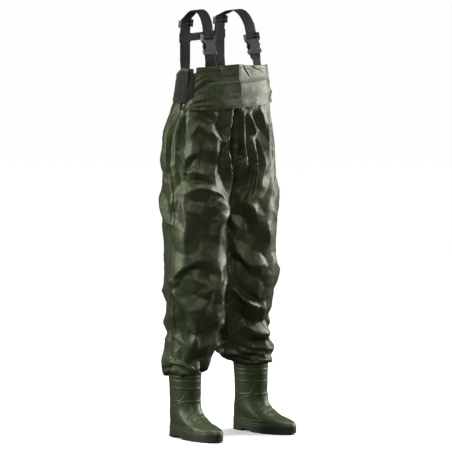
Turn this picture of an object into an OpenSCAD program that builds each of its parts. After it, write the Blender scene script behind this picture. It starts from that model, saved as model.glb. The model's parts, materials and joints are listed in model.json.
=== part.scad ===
// Chest waders: a waterproof bib-and-trouser shell with moulded boots, webbing braces and side-release buckles.
// Millimetres. +Z is up, the wearer faces -Y, and the wearer's right side is at -X.
// The origin is on the ground, under the middle of the whole object.

/* [Body shell] */
// Height of the top edge of the front bib
bib_top_z = 1337; // [1325:1:1350]
// Height of the lower edge of the front bib
bib_bottom_z = 1184; // [1175:1:1188]
// Height of the trouser top, which is tucked behind the bib
trouser_top_z = 1204; // [1202:1:1205]
// Height of the fork between the legs
fork_z = 815; // [800:1:835]
// Thickness of the coated cloth, which stands for its folds too
cloth_t = 2.4; // [2:0.1:2.6]
// Half width of the chest pocket
pocket_half_w = 146; // [120:1:150]
// Height of the chest pocket's mouth
pocket_top_z = 1278; // [1260:1:1290]

/* [Boots] */
// Sideways place of the boot shaft
boot_x = 155; // [150:1:160]
// Front to back place of the boot shaft
boot_y = 50; // [47:1:53]
// Turn of each foot outwards, degrees
splay = 5.5; // [0:0.5:8]
// Thickness of the outsole
sole_t = 24; // [20:1:26]
// Wall of the moulded boot
boot_wall = 3.6; // [3:0.1:4]
// Width of the tread grooves
groove_w = 4; // [3:0.5:5]

/* [Braces] */
// Width of the brace webbing
web_w = 48; // [44:1:49]
// Thickness of the webbing
web_t = 2; // [1.6:0.1:2.2]
// Sideways place of each brace at its buckle
front_x = 105; // [102:1:107]
// Sideways place of the back end of each brace
back_x = 81; // [78:0.5:84]
// Front to back place of the brace behind the shoulders
back_y = 134; // [133:1:136]
// Width of the strap that joins the two braces
cross_w = 28; // [24:1:32]

/* [Buckles] */
// Width across the buckle socket
socket_w = 64; // [62:1:66]
// Thickness of the buckle socket
socket_t = 13; // [12:0.5:14]
// Lean of the front webbing and its buckle towards the back, degrees
buckle_lean = 12; // [11:0.5:13]
// Lean of the front webbing and its buckle towards the neck, degrees
neck_lean = 4; // [3:0.5:5]
// Height of the socket's mouth, halfway between the right one and the left one
mouth_z = 1382; // [1380:1:1384]
// How much higher the right buckle hangs than the left one
stagger = 14; // [0:1:16]

/* [Cord locks] */
// Diameter of the elastic waist cord
cord_d = 3; // [2.5:0.1:3.2]
// Diameter of the cord lock's barrel
lock_d = 13; // [12:0.5:14]

/* [Hidden] */
$fn = 48;
eps = 0.01;

// ---------------------------------------------------------------- helpers
function mix(a, b, t) = a + (b - a) * t;
function clamp01(t) = max(0, min(1, t));
function ease(t) = let (u = clamp01(t)) u * u * (3 - 2 * u);
function column(table, k, z) = lookup(z, [for (r = table) [r[0], r[k]]]);
function signed_power(v, p) = sign(v) * pow(abs(v), p);
function steps(n) = [for (i = [0:n]) i / n];

// A closed solid between an outer and an inner grid of points. Rows run upwards. A wrapped grid is a tube.
module sheet_solid(outer, inner, wrap = false) {
  rows = len(outer);
  cols = len(outer[0]);
  last = wrap ? cols - 1 : cols - 2;
  count = rows * cols;
  function id(layer, r, c) = layer * count + r * cols + c % cols;
  points = [for (layer = [outer, inner]) for (row = layer) for (p = row) p];
  outer_faces = [for (r = [0:rows - 2]) for (c = [0:last]) each [
    [id(0, r, c), id(0, r + 1, c), id(0, r + 1, c + 1)], [id(0, r, c), id(0, r + 1, c + 1), id(0, r, c + 1)]]];
  inner_faces = [for (r = [0:rows - 2]) for (c = [0:last]) each [
    [id(1, r, c), id(1, r + 1, c + 1), id(1, r + 1, c)], [id(1, r, c), id(1, r, c + 1), id(1, r + 1, c + 1)]]];
  rims = [for (c = [0:last]) each [
    [id(0, 0, c), id(0, 0, c + 1), id(1, 0, c + 1)], [id(0, 0, c), id(1, 0, c + 1), id(1, 0, c)],
    [id(0, rows - 1, c), id(1, rows - 1, c), id(1, rows - 1, c + 1)],
    [id(0, rows - 1, c), id(1, rows - 1, c + 1), id(0, rows - 1, c + 1)]]];
  sides = wrap ? [] : [for (r = [0:rows - 2]) each [
    [id(0, r, 0), id(1, r, 0), id(1, r + 1, 0)], [id(0, r, 0), id(1, r + 1, 0), id(0, r + 1, 0)],
    [id(0, r, cols - 1), id(1, r + 1, cols - 1), id(1, r, cols - 1)],
    [id(0, r, cols - 1), id(0, r + 1, cols - 1), id(1, r + 1, cols - 1)]]];
  polyhedron(points, concat(outer_faces, inner_faces, rims, sides));
}

// A closed solid through a stack of rings, with a flat cap at each end.
module ring_solid(rings) {
  n = len(rings[0]);
  last = len(rings) - 1;
  walls = [for (r = [0:last - 1]) for (c = [0:n - 1]) each [
    [r * n + c, (r + 1) * n + c, (r + 1) * n + (c + 1) % n],
    [r * n + c, (r + 1) * n + (c + 1) % n, r * n + (c + 1) % n]]];
  caps = [[for (c = [0:n - 1]) c], [for (c = [n - 1:-1:0]) last * n + c]];
  polyhedron([for (ring = rings) for (p = ring) p], concat(walls, caps));
}

// Draws right-hand pieces as they are (side -1) or mirrored to the left (side 1).
module from_right(side) {
  mirror([side > 0 ? 1 : 0, 0, 0]) children();
}

// Draws left-hand pieces as they are (side 1) or mirrored to the right (side -1).
module from_left(side) {
  mirror([side < 0 ? 1 : 0, 0, 0]) children();
}

// ---------------------------------------------------------------- trousers
// Cross-sections of the trunk: height, centre Y, half width, half depth.
trunk = [[780, 27, 237, 118], [900, 29, 241, 119], [1000, 42, 248, 120], [1100, 47, 232, 117],
         [1160, 40, 208, 111], [1204, 34, 192, 104]];
// Cross-sections of the right leg: height, centre X, centre Y, half width, half depth.
leg = [[241, 155, 50, 55, 67], [252, 154, 53, 68, 73], [268, 150, 57, 75, 77], [300, 142, 58, 80, 79],
       [350, 136, 52, 86, 84], [417, 127, 44, 93, 89], [475, 121, 33, 105, 103], [560, 118, 29, 113, 117],
       [650, 117, 33, 115.5, 123], [740, 118, 32, 117, 123], [815, 119, 29, 118, 121], [1010, 119, 36, 118, 120]];
section_n = 2.4;
fork_blend_top_z = 1010;
trouser_levels = [241, 252, 268, 300, 345, 380, 417, 475, 560, 650, 740, fork_z, 840, 865, 895, 930, 970,
                  fork_blend_top_z, 1060, 1110, 1160, trouser_top_z];
panel_cols = 14;

// A point on the cloth. t runs from the side seam to the front or back seam, face is 1 in front and -1 behind.
function cloth_point(z, t, face, inset) =
  let (
    s = ease((fork_blend_top_z - z) / (fork_blend_top_z - fork_z)),
    a = column(trunk, 2, z) - inset, b = column(trunk, 3, z) - inset,
    tx = -a * signed_power(cos(90 * t), 2 / section_n),
    ty = column(trunk, 1, z) - face * b * signed_power(sin(90 * t), 2 / section_n),
    rx = column(leg, 3, z) - inset, ry = column(leg, 4, z) - inset,
    lx = -column(leg, 1, z) - rx * cos(180 * t),
    ly = column(leg, 2, z) - face * ry * sin(180 * t)
  ) [mix(tx, lx, s), mix(ty, ly, s), z];

function cloth_grid(face, inset) = [for (z = trouser_levels)
  [for (t = steps(panel_cols)) cloth_point(z, face > 0 ? t : 1 - t, face, inset)]];

module trouser_panel(side, face) {
  color("darkolivegreen") from_right(side) sheet_solid(cloth_grid(face, 0), cloth_grid(face, cloth_t));
}

// ---------------------------------------------------------------- bib, pocket and back
// Cross-sections of the chest: height, centre Y, half width, front depth, back depth, squareness and keel in front.
chest = [[1178, 34, 205, 113, 110, 3, 0.05], [1204, 34, 202, 112, 109, 3, 0.05],
         [1278, 28, 193, 98, 106, 4.5, 0.15], [1350, 21, 186, 82, 110, 6, 0.2]];

// A point round the chest. Angle 0 is the front seam, and it grows towards the wearer's left.
function chest_point(z, angle, inset) =
  let (
    front = cos(angle) > 0,
    n = front ? column(chest, 5, z) : section_n,
    b = column(chest, front ? 3 : 4, z) - inset,
    x = (column(chest, 2, z) - inset) * signed_power(sin(angle), 2 / n),
    keel = front ? column(chest, 6, z) * abs(x) * min(1, 3 * cos(angle)) : 0
  ) [x, column(chest, 1, z) - b * signed_power(cos(angle), 2 / n) + keel, z];

function chest_grid(levels, from, to, n, inset) = [for (z = levels)
  [for (t = steps(n)) chest_point(z, mix(from, to, t), inset)]];

module chest_sheet(levels, from, to, n, inset, t) {
  sheet_solid(chest_grid(levels, from, to, n, inset), chest_grid(levels, from, to, n, inset + t));
}

bib_angle = 76;
bib_levels = [bib_bottom_z, 1192, 1204, 1240, pocket_top_z, 1308, bib_top_z];
module front_bib() {
  color("darkolivegreen") chest_sheet(bib_levels, -bib_angle, bib_angle, 32, 0, cloth_t);
}

pocket_gap = 0.4;
pocket_hem_h = 9;
pocket_n = 16;
pocket_angle = asin(pow(pocket_half_w / column(chest, 2, 1240), column(chest, 5, 1240) / 2));
module pocket_sheet(levels, t) {
  color("darkolivegreen") chest_sheet(levels, -pocket_angle, pocket_angle, pocket_n, -pocket_gap - t, t);
}

module chest_pocket() {
  pocket_sheet([bib_bottom_z - 5, 1192, 1204, 1240, pocket_top_z - pocket_hem_h - 0.2], cloth_t);
}

module pocket_hem() {
  pocket_sheet([pocket_top_z - pocket_hem_h, pocket_top_z], cloth_t + 0.8);
}

// The back pieces tuck behind the bib's side edges.
tuck = 7;
back_top_z = 1289;
back_inset = cloth_t + 1.7;
module back_elastic() {
  color([0.16, 0.16, 0.14])
    chest_sheet([1206, 1230, 1254, 1276.8], bib_angle - tuck, 360 - bib_angle + tuck, 30, back_inset, 2);
}

module back_binding() {
  color("darkolivegreen")
    chest_sheet([1277, back_top_z], bib_angle - tuck, 360 - bib_angle + tuck, 30, back_inset, 3);
}

// ---------------------------------------------------------------- waist cord and its two locks
cord_z = 1193;
cord_inset = 4.2;
cord_angle = 79;
lock_x = 207;
lock_y = 15;
lock_h = 22;
lock_bore_r = 4;
plunger_r = 3.95;
press_travel = 3;

function ring_frame(p, next, r, n) =
  let (d = next - p, f = d / norm(d), side = cross(f, [0, 0, 1]), s = side / norm(side), up = cross(s, f))
  [for (k = [0:n - 1]) p + r * (s * cos(360 * k / n) + up * sin(360 * k / n))];

// A tube through a list of points.
module tube(points, d, n = 8) {
  last = len(points) - 1;
  ring_solid([for (i = [0:last])
    ring_frame(points[i], i < last ? points[i + 1] : 2 * points[i] - points[i - 1], d / 2, n)]);
}

module waist_cord() {
  right_tail = [[-lock_x + 1, lock_y + 20, cord_z], [-lock_x, lock_y + 9, cord_z], [-lock_x, lock_y - 7.5, cord_z],
                [-lock_x + 3.5, lock_y - 9.5, cord_z]];
  front = [for (t = steps(30)) chest_point(cord_z, mix(-cord_angle, cord_angle, t), cord_inset)];
  left_tail = [for (i = [3:-1:0]) [-right_tail[i][0], right_tail[i][1], right_tail[i][2]]];
  color([0.1, 0.1, 0.1]) tube(concat(right_tail, front, left_tail), cord_d);
}

module at_lock(side) {
  translate([side * lock_x, lock_y, cord_z]) children();
}

// The way through for the cord, along Y, as tall as the button's travel needs.
module cord_hole(height) {
  d = cord_d + 0.8;
  for (z = [0, height]) translate([0, 0, z]) rotate([90, 0, 0]) cylinder(d = d, h = 2 * lock_d, center = true);
  translate([-d / 2, -lock_d, 0]) cube([d, 2 * lock_d, max(height, eps)]);
}

module lock_barrel(side) {
  color([0.08, 0.08, 0.08]) at_lock(side) difference() {
    translate([0, 0, -lock_h / 2]) cylinder(d = lock_d, h = lock_h);
    translate([0, 0, -lock_h / 2 + 1.5]) cylinder(r = lock_bore_r, h = lock_h);
    cord_hole(0);
  }
}

module lock_plunger(side) {
  stem_bottom = -2.4;
  head_z = lock_h / 2 + press_travel + 0.4;
  color([0.14, 0.14, 0.14]) at_lock(side) difference() {
    union() {
      translate([0, 0, stem_bottom]) cylinder(r = plunger_r, h = head_z - stem_bottom);
      translate([0, 0, head_z - eps]) cylinder(d = 9.5, h = 3);
    }
    cord_hole(press_travel);
  }
}

module lock_spring(side) {
  wire_r = 0.45;
  color("silver") at_lock(side)
  for (z = [-8.9, -7, -5.1, -3.2]) translate([0, 0, z])
    rotate_extrude() translate([2.8, 0]) circle(r = wire_r, $fn = 16);
}

// ---------------------------------------------------------------- boots
// Boot frame: the shaft's middle is at the origin, and the toe points to -Y.
toe_reach = 212;
heel_reach = 75;
shaft_top_z = 240;
// Side view of the boot: height, reach of the toe or instep, reach of the heel, roundness of the plan.
profile = [[20, 210, 74, 0.78], [34, 212, 75, 0.78], [42, 207, 75, 0.8], [48, 194, 75, 0.85], [53, 168, 75, 0.9],
           [62, 139, 74, 0.95], [80, 101, 71, 0.95], [92, 84, 68, 0.9], [107, 73, 66, 0.9], [125, 68, 63, 0.9],
           [150, 66, 62, 0.9], [190, 66, 63, 0.9], [240, 66, 66, 0.9]];
foot_half_w = [[0, 42], [0.12, 49], [0.3, 52], [0.5, 47], [0.68, 43], [0.85, 43], [1, 40]];
shaft_half_w = [[24, 50], [100, 46], [140, 48], [190, 51], [240, 54]];
boot_levels = [sole_t, 34, 42, 48, 53, 57.5, 62, 71, 80, 92, 107, 125, 150, 190, 215, shaft_top_z];
boot_cols = 32;
floor_z = sole_t + 4;
// Least thickness of the foot's roof, measured straight down
roof_t = 2.8;

function boot_point(z, turn, inset) =
  let (
    front = column(profile, 1, z) - inset, back = column(profile, 2, z) - inset,
    s = (1 - cos(turn)) / 2,
    w = mix(lookup(s, foot_half_w), lookup(z, shaft_half_w), ease((z - 50) / 75)) - inset
  ) [-signed_power(sin(turn), column(profile, 3, z)) * w, -front + (front + back) * s, z];

function boot_ring(z, inset) = [for (k = [0:boot_cols - 1]) boot_point(z, 360 * k / boot_cols, inset)];

function flat(ring) = [for (p = ring) [p[0], p[1]]];

module at_boot(side) {
  from_right(side) translate([-boot_x, boot_y, 0]) rotate([0, 0, -splay]) children();
}

module boot_upper(side) {
  outer = [for (z = boot_levels) boot_ring(z, 0)];
  inner = [for (i = [len(boot_levels) - 1:-1:1]) let (z = boot_levels[i]) if (z > floor_z)
    [for (p = boot_ring(z + roof_t, boot_wall)) [p[0], p[1], z]]];
  floor_ring = [for (p = boot_ring(34, boot_wall)) [p[0], p[1], floor_z]];
  color([0.13, 0.2, 0.11]) at_boot(side) ring_solid(concat(outer, inner, [floor_ring]));
}

sole_flare = 2.5;
module boot_outsole(side) {
  heel_y = heel_reach + sole_flare;
  toe_y = -toe_reach - sole_flare;
  arch_front = -46;
  arch_back = 14;
  arch_lift = 9;
  side_profile = [[heel_y, sole_t], [heel_y, 2], [heel_y - 4, 0], [arch_back, 0], [arch_back - 5, arch_lift],
                  [arch_front + 6, arch_lift], [arch_front, 0], [-168, 0], [toe_y, 7], [toe_y, sole_t]];
  color([0.12, 0.17, 0.1]) at_boot(side) difference() {
    intersection() {
      linear_extrude(height = sole_t) polygon(flat(boot_ring(34, -sole_flare)));
      rotate([90, 0, 90]) linear_extrude(height = 140, center = true) polygon(side_profile);
    }
    for (y = [each [-196:17:-60], 30, 50]) translate([-70, y, -1]) cube([140, groove_w, 5]);
    translate([-groove_w / 2, -190, -1]) cube([groove_w, 145, 5]);
  }
}

module boot_insole(side) {
  color([0.35, 0.36, 0.34]) at_boot(side) translate([0, 0, floor_z])
    linear_extrude(height = 4) polygon(flat(boot_ring(34, boot_wall + 1.4)));
}

module weld_band(side) {
  band_t = 1.4;
  band_inset = boot_wall + 0.3;
  function oval(inset) = [for (z = [222, 240, 256]) [for (p = boot_ring(z, inset)) [p[0], p[1], z]]];
  color([0.1, 0.12, 0.09]) at_boot(side) sheet_solid(oval(band_inset), oval(band_inset + band_t), wrap = true);
}

// ---------------------------------------------------------------- braces
// Buckle frame: origin on the webbing at the socket's mouth, +Z up along the webbing and -Y in front.
buckle_y = -26;
function side_mouth_z(side) = mouth_z - side * stagger / 2;
module at_buckle(side) {
  translate([side * front_x, buckle_y, side_mouth_z(side)])
    rotate([-buckle_lean, -side * neck_lean, 0]) children();
}

// A point on the front webbing of a left-hand brace, d along it from the mouth, with no yaw.
function on_web(side, d) = [front_x - d * cos(buckle_lean) * sin(neck_lean), buckle_y + d * sin(buckle_lean),
                            side_mouth_z(side) + d * cos(buckle_lean) * cos(neck_lean), 0];

// A ribbon of webbing along a route of [x, y, z, yaw]. Its width runs along X, turned by the yaw.
module ribbon(side, route, w, t) {
  last = len(route) - 1;
  function place(i) = [route[i][0], route[i][1], route[i][2]];
  function across(i) = [cos(route[i][3]), sin(route[i][3]), 0];
  function heading(i) = let (d = place(min(i + 1, last)) - place(max(i - 1, 0))) [0, d[1], d[2]] / norm([d[1], d[2]]);
  function edge(i, off) = let (out = cross(across(i), heading(i)), n = out / norm(out))
    [for (k = [-1, 1]) place(i) + k * w / 2 * across(i) + off * n];
  from_left(side) sheet_solid([for (i = [0:last]) edge(i, t / 2)], [for (i = [0:last]) edge(i, -t / 2)]);
}

web_color = [0.17, 0.17, 0.16];
straight_end = 90;
lift_run = 60;
adjuster_lean = -8;
adjuster_pos = [back_x, 129.5, 1469];
adjuster_dir = [0, sin(adjuster_lean), cos(adjuster_lean)];
arch = [[95.5, 7, 1494], [93, 24, 1510], [91, 44, 1518], [89, 66, 1517.5], [86.5, 88, 1509], [83.5, 109, 1496]];
function by_adjuster(d) = let (p = adjuster_pos + d * adjuster_dir) [p[0], p[1], p[2], 0];

module front_tab(side) {
  yaw = 13;
  route = [[front_x + 3, -46.6, 1284, yaw], [front_x + 3, -36, 1338, yaw], on_web(side, -20), on_web(side, -15.2)];
  color(web_color) ribbon(side, route, web_w - 2, web_t);
}

module brace(side) {
  // The shorter adjustment of the right brace lifts its arch.
  over = [for (p = arch) [p[0], p[1], p[2] - side * stagger / 2 * clamp01((adjuster_pos[1] - p[1]) / lift_run), 0]];
  route = concat([on_web(side, 36), on_web(side, straight_end)], over, [by_adjuster(17), by_adjuster(-8)]);
  color(web_color) ribbon(side, route, web_w, web_t);
}

module back_strap(side) {
  yaw = -11;
  route = [[back_x, 137, 1236, yaw], [back_x, 132.6, 1290, yaw], [back_x, back_y, 1335, 0], [back_x, back_y, 1440, 0],
           by_adjuster(-8.3)];
  color(web_color) ribbon(side, route, web_w, web_t);
}

keeper_z = 1418;
keeper_gap = 0.5;
keeper_t = 1.6;
module keeper(side) {
  w = web_w + 2 * (keeper_gap + keeper_t);
  d = web_t + 2 * (keeper_gap + keeper_t);
  h = cross_w + 4;
  color(web_color) translate([side * back_x, back_y, keeper_z]) difference() {
    cube([w, d, h], center = true);
    cube([w - 2 * keeper_t, d - 2 * keeper_t, h + 2], center = true);
  }
}

module cross_strap() {
  inner = back_x - web_w / 2 - keeper_gap - keeper_t;
  color(web_color) translate([-inner, back_y - web_t / 2, keeper_z - cross_w / 2])
    cube([2 * inner, web_t, cross_w]);
}

bar_r = 2;
// How far the bars stay inside the faces of their side rails
bar_inset = 0.3;
// A three-bar slide. The middle bar is in front of the webbing and the two end bars are behind it.
module adjuster(side) {
  w = 60;
  h = 26;
  rail = 4.4;
  bar_y = web_t / 2 + 0.5 + bar_r;
  color([0.07, 0.07, 0.07]) translate([side * adjuster_pos[0], adjuster_pos[1], adjuster_pos[2]])
  rotate([-adjuster_lean, 0, 0]) {
    end_z = h / 2 - bar_r - bar_inset;
    for (k = [-1, 1]) translate([k * (w - rail) / 2, 0, 0])
      cube([rail, 2 * (bar_y + bar_r + bar_inset), h], center = true);
    for (at = [[bar_y, end_z], [bar_y, -end_z], [-bar_y, 0]]) translate([0, at[0], at[1]])
      rotate([0, 90, 0]) cylinder(r = bar_r, h = w - rail, center = true);
  }
}

// ---------------------------------------------------------------- side-release buckle
plate_t = 2.6;
arm_t = 5;
socket_h = 38;
ladder_h = 21;

// Half outline of the socket's faces, pinched at the sides where the plug's arms show.
socket_half = [[25, 0], [24, 5], [21.5, 9], [20, 15], [21.5, 22], [25, 28], [socket_w / 2 - 3, 32],
               [socket_w / 2, 35], [socket_w / 2, socket_h]];

module mirrored_outline(half) {
  polygon(concat(half, [for (i = [len(half) - 1:-1:0]) [-half[i][0], half[i][1]]]));
}

// A plate in the buckle's plane, as thick as depth, with its middle at y.
module plate(depth, y = 0) {
  translate([0, y + depth / 2, 0]) rotate([90, 0, 0]) linear_extrude(height = depth) children();
}

module buckle_socket(side) {
  rail = 5;
  top = socket_h + ladder_h;
  color([0.09, 0.09, 0.09]) at_buckle(side) {
    for (k = [-1, 1]) plate(plate_t, k * (socket_t - plate_t) / 2) mirrored_outline(socket_half);
    for (k = [-1, 1]) translate([k * (socket_w - rail) / 2 - rail / 2, -socket_t / 2, socket_h - 4])
      cube([rail, socket_t, ladder_h + 4]);
    edge = bar_r + bar_inset;
    for (at = [[edge - socket_t / 2, top - 10], [socket_t / 2 - edge, top - edge]]) translate([0, at[0], at[1]])
      rotate([0, 90, 0]) cylinder(r = bar_r, h = socket_w - rail, center = true);
  }
}

module plug_base(side) {
  w = 57;
  rail = 4.5;
  base_h = 5;
  prong_w = 9;
  prong_l = 28;
  color([0.09, 0.09, 0.09]) at_buckle(side) {
    translate([-w / 2, -socket_t / 2, -base_h - 0.5]) cube([w, socket_t, base_h]);
    for (k = [-1, 1]) translate([k * (w - rail) / 2 - rail / 2, -4, -13.5]) cube([rail, 8, 9]);
    translate([0, 0, -10.9]) rotate([0, 90, 0]) cylinder(r = bar_r, h = w - rail, center = true);
    plate(arm_t) polygon([[-prong_w / 2, -1], [prong_w / 2, -1], [prong_w / 2, prong_l - 4],
                          [prong_w / 4, prong_l], [-prong_w / 4, prong_l], [-prong_w / 2, prong_l - 4]]);
  }
}

// A springy arm of the plug. k is 1 for the arm nearer the wearer's left.
module plug_arm(side, k) {
  color([0.1, 0.1, 0.1]) at_buckle(side) mirror([k > 0 ? 0 : 1, 0, 0]) plate(arm_t)
    polygon([[13, 0], [17.5, 0], [20, 4], [27, 7], [30, 12], [30, 17], [27, 22], [21, 26.5], [16, 29.5], [14, 28],
             [19, 23], [21.5, 18], [20.5, 12], [16, 6]]);
}

// ---------------------------------------------------------------- the object
trouser_panel(-1, 1);  // right_front_panel
trouser_panel(-1, -1);  // right_back_panel
trouser_panel(1, 1);  // left_front_panel
trouser_panel(1, -1);  // left_back_panel
front_bib();
chest_pocket();
pocket_hem();
back_elastic();
back_binding();
waist_cord();
lock_barrel(-1);  // right_lock_barrel
lock_plunger(-1);  // right_lock_plunger
lock_spring(-1);  // right_lock_spring
lock_barrel(1);  // left_lock_barrel
lock_plunger(1);  // left_lock_plunger
lock_spring(1);  // left_lock_spring
boot_upper(-1);  // right_boot_upper
boot_outsole(-1);  // right_boot_outsole
boot_insole(-1);  // right_boot_insole
weld_band(-1);  // right_weld_band
boot_upper(1);  // left_boot_upper
boot_outsole(1);  // left_boot_outsole
boot_insole(1);  // left_boot_insole
weld_band(1);  // left_weld_band
front_tab(-1);  // right_front_tab
plug_base(-1);  // right_plug_base
plug_arm(-1, -1);  // right_plug_outer_arm
plug_arm(-1, 1);  // right_plug_inner_arm
front_tab(1);  // left_front_tab
plug_base(1);  // left_plug_base
plug_arm(1, 1);  // left_plug_outer_arm
plug_arm(1, -1);  // left_plug_inner_arm
buckle_socket(-1);  // right_buckle_socket
buckle_socket(1);  // left_buckle_socket
brace(-1);  // right_brace
brace(1);  // left_brace
back_strap(-1);  // right_back_strap
back_strap(1);  // left_back_strap
adjuster(-1);  // right_adjuster
adjuster(1);  // left_adjuster
cross_strap();
keeper(-1);  // right_keeper
keeper(1);  // left_keeper
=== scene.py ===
"""Chest waders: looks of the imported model. +Z is up, the wearer faces -Y and the wearer's right is at -X."""

import json
import math

import bmesh
import bpy
import numpy as np
from mathutils import Matrix, Vector, noise
from mathutils.geometry import delaunay_2d_cdt
from mathutils.kdtree import KDTree

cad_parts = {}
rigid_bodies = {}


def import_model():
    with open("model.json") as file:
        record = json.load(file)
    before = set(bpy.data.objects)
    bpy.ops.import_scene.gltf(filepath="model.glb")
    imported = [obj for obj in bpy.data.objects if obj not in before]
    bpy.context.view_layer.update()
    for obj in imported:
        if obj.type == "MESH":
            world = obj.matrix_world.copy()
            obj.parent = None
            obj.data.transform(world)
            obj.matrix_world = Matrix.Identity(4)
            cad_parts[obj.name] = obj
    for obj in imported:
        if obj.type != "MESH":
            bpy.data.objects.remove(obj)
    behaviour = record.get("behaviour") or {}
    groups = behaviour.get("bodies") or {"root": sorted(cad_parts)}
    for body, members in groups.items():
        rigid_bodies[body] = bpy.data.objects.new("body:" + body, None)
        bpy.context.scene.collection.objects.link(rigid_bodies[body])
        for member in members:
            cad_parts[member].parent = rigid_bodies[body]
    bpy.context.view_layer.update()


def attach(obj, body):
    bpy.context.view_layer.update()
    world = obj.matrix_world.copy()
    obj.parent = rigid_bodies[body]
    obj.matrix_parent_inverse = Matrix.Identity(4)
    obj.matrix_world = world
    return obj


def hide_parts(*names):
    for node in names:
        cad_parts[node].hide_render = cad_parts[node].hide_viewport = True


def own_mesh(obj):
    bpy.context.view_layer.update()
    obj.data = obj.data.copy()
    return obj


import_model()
MM = 0.001
SIDES = ((-1, "right"), (1, "left"))


# ---------------- helpers
def ease(t):
    t = np.clip(t, 0, 1)
    return t * t * (3 - 2 * t)


def signed_power(v, p):
    return np.sign(v) * np.abs(v) ** p


def column(table, k, z):
    return np.interp(z, [r[0] for r in table], [r[k] for r in table])


def bump(x, centre, width):
    """A smooth hill, 1 at the centre and 0 a few widths away."""
    return np.exp(-(((x - centre) / width) ** 2))


def noise_at(points, scale, seed=0.0):
    """Smooth noise from -1 to 1 at points in millimetres, with blobs of about the scale's size."""
    return np.array([noise.noise(Vector(p) / scale + Vector((seed, seed * 1.7, -seed))) for p in points])


def cols(*parts):
    """Numbers or arrays side by side, as the last axis of one array."""
    return np.stack(np.broadcast_arrays(*parts), axis=-1)


def full_turn(n):
    """n angles round a circle."""
    return np.linspace(0, 2 * np.pi, n + 1)[:-1]


def distances(path):
    """How far along a path each of its points is."""
    return np.concatenate([[0], np.cumsum(np.linalg.norm(np.diff(path, axis=0), axis=1))])


def tree_of(points):
    tree = KDTree(len(points))
    for i, p in enumerate(points):
        tree.insert(p, i)
    tree.balance()
    return tree


def linked(name, data):
    """A new object in the scene."""
    obj = bpy.data.objects.new(name, data)
    bpy.context.scene.collection.objects.link(obj)
    return obj


def make_mesh(name, points_mm, faces):
    mesh = bpy.data.meshes.new(name)
    mesh.from_pydata((np.asarray(points_mm, float) * MM).tolist(), [], faces)
    mesh.validate()
    mesh.shade_smooth()
    return linked(name, mesh)


def places(obj):
    """The vertices' places, in millimetres."""
    return np.array([v.co for v in obj.data.vertices]) / MM


def normals(obj):
    return np.array([v.normal for v in obj.data.vertices])


def put(obj, points_mm):
    obj.data.vertices.foreach_set("co", (points_mm * MM).ravel())
    obj.data.update()


def mirrored(obj, side):
    """Turns a piece drawn on the wearer's left over to the right, for side -1."""
    if side < 0:
        obj.data.transform(Matrix.Scale(-1, 4, (1, 0, 0)))
        obj.data.flip_normals()
    return obj


def modified(obj):
    """Applies the object's modifiers."""
    dg = bpy.context.evaluated_depsgraph_get()
    mesh = bpy.data.meshes.new_from_object(obj.evaluated_get(dg))
    obj.modifiers.clear()
    obj.data = mesh
    return obj


# ---------------- trousers: the CAD's sections, in mm
TRUNK = [[780, 27, 237, 118], [900, 29, 241, 119], [1000, 42, 248, 120], [1100, 47, 232, 117],
         [1160, 40, 208, 111], [1204, 34, 192, 104]]
LEG = [[241, 155, 50, 55, 67], [252, 154, 53, 68, 73], [268, 150, 57, 75, 77], [300, 142, 58, 80, 79],
       [350, 136, 52, 86, 84], [417, 127, 44, 93, 89], [475, 121, 33, 105, 103], [560, 118, 29, 113, 117],
       [650, 117, 33, 115.5, 123], [740, 118, 32, 117, 123], [815, 119, 29, 118, 121],
       [1010, 119, 36, 118, 120]]
SECTION_N = 2.4
FORK_Z = 815
BLEND_TOP = 1010
TOP_Z = 1204
PANEL_W = 370  # width of one panel at the thigh


def cloth_point(z, a, inset=0.0):
    """A point of the right half. a is -1 at the back seam, 0 at the side seam and 1 at the front seam."""
    t, face = np.abs(a), np.where(a >= 0, 1.0, -1.0)
    s = ease((BLEND_TOP - z) / (BLEND_TOP - FORK_Z))
    w, d = column(TRUNK, 2, z) - inset, column(TRUNK, 3, z) - inset
    tx = -w * signed_power(np.cos(np.pi / 2 * t), 2 / SECTION_N)
    ty = column(TRUNK, 1, z) - face * d * signed_power(np.sin(np.pi / 2 * t), 2 / SECTION_N)
    rx, ry = column(LEG, 3, z) - inset, column(LEG, 4, z) - inset
    lx = -column(LEG, 1, z) - rx * np.cos(np.pi * t)
    ly = column(LEG, 2, z) - face * ry * np.sin(np.pi * t)
    x = tx + (lx - tx) * s
    y = ty + (ly - ty) * s
    return cols(x, y, z + 0 * x)


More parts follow.
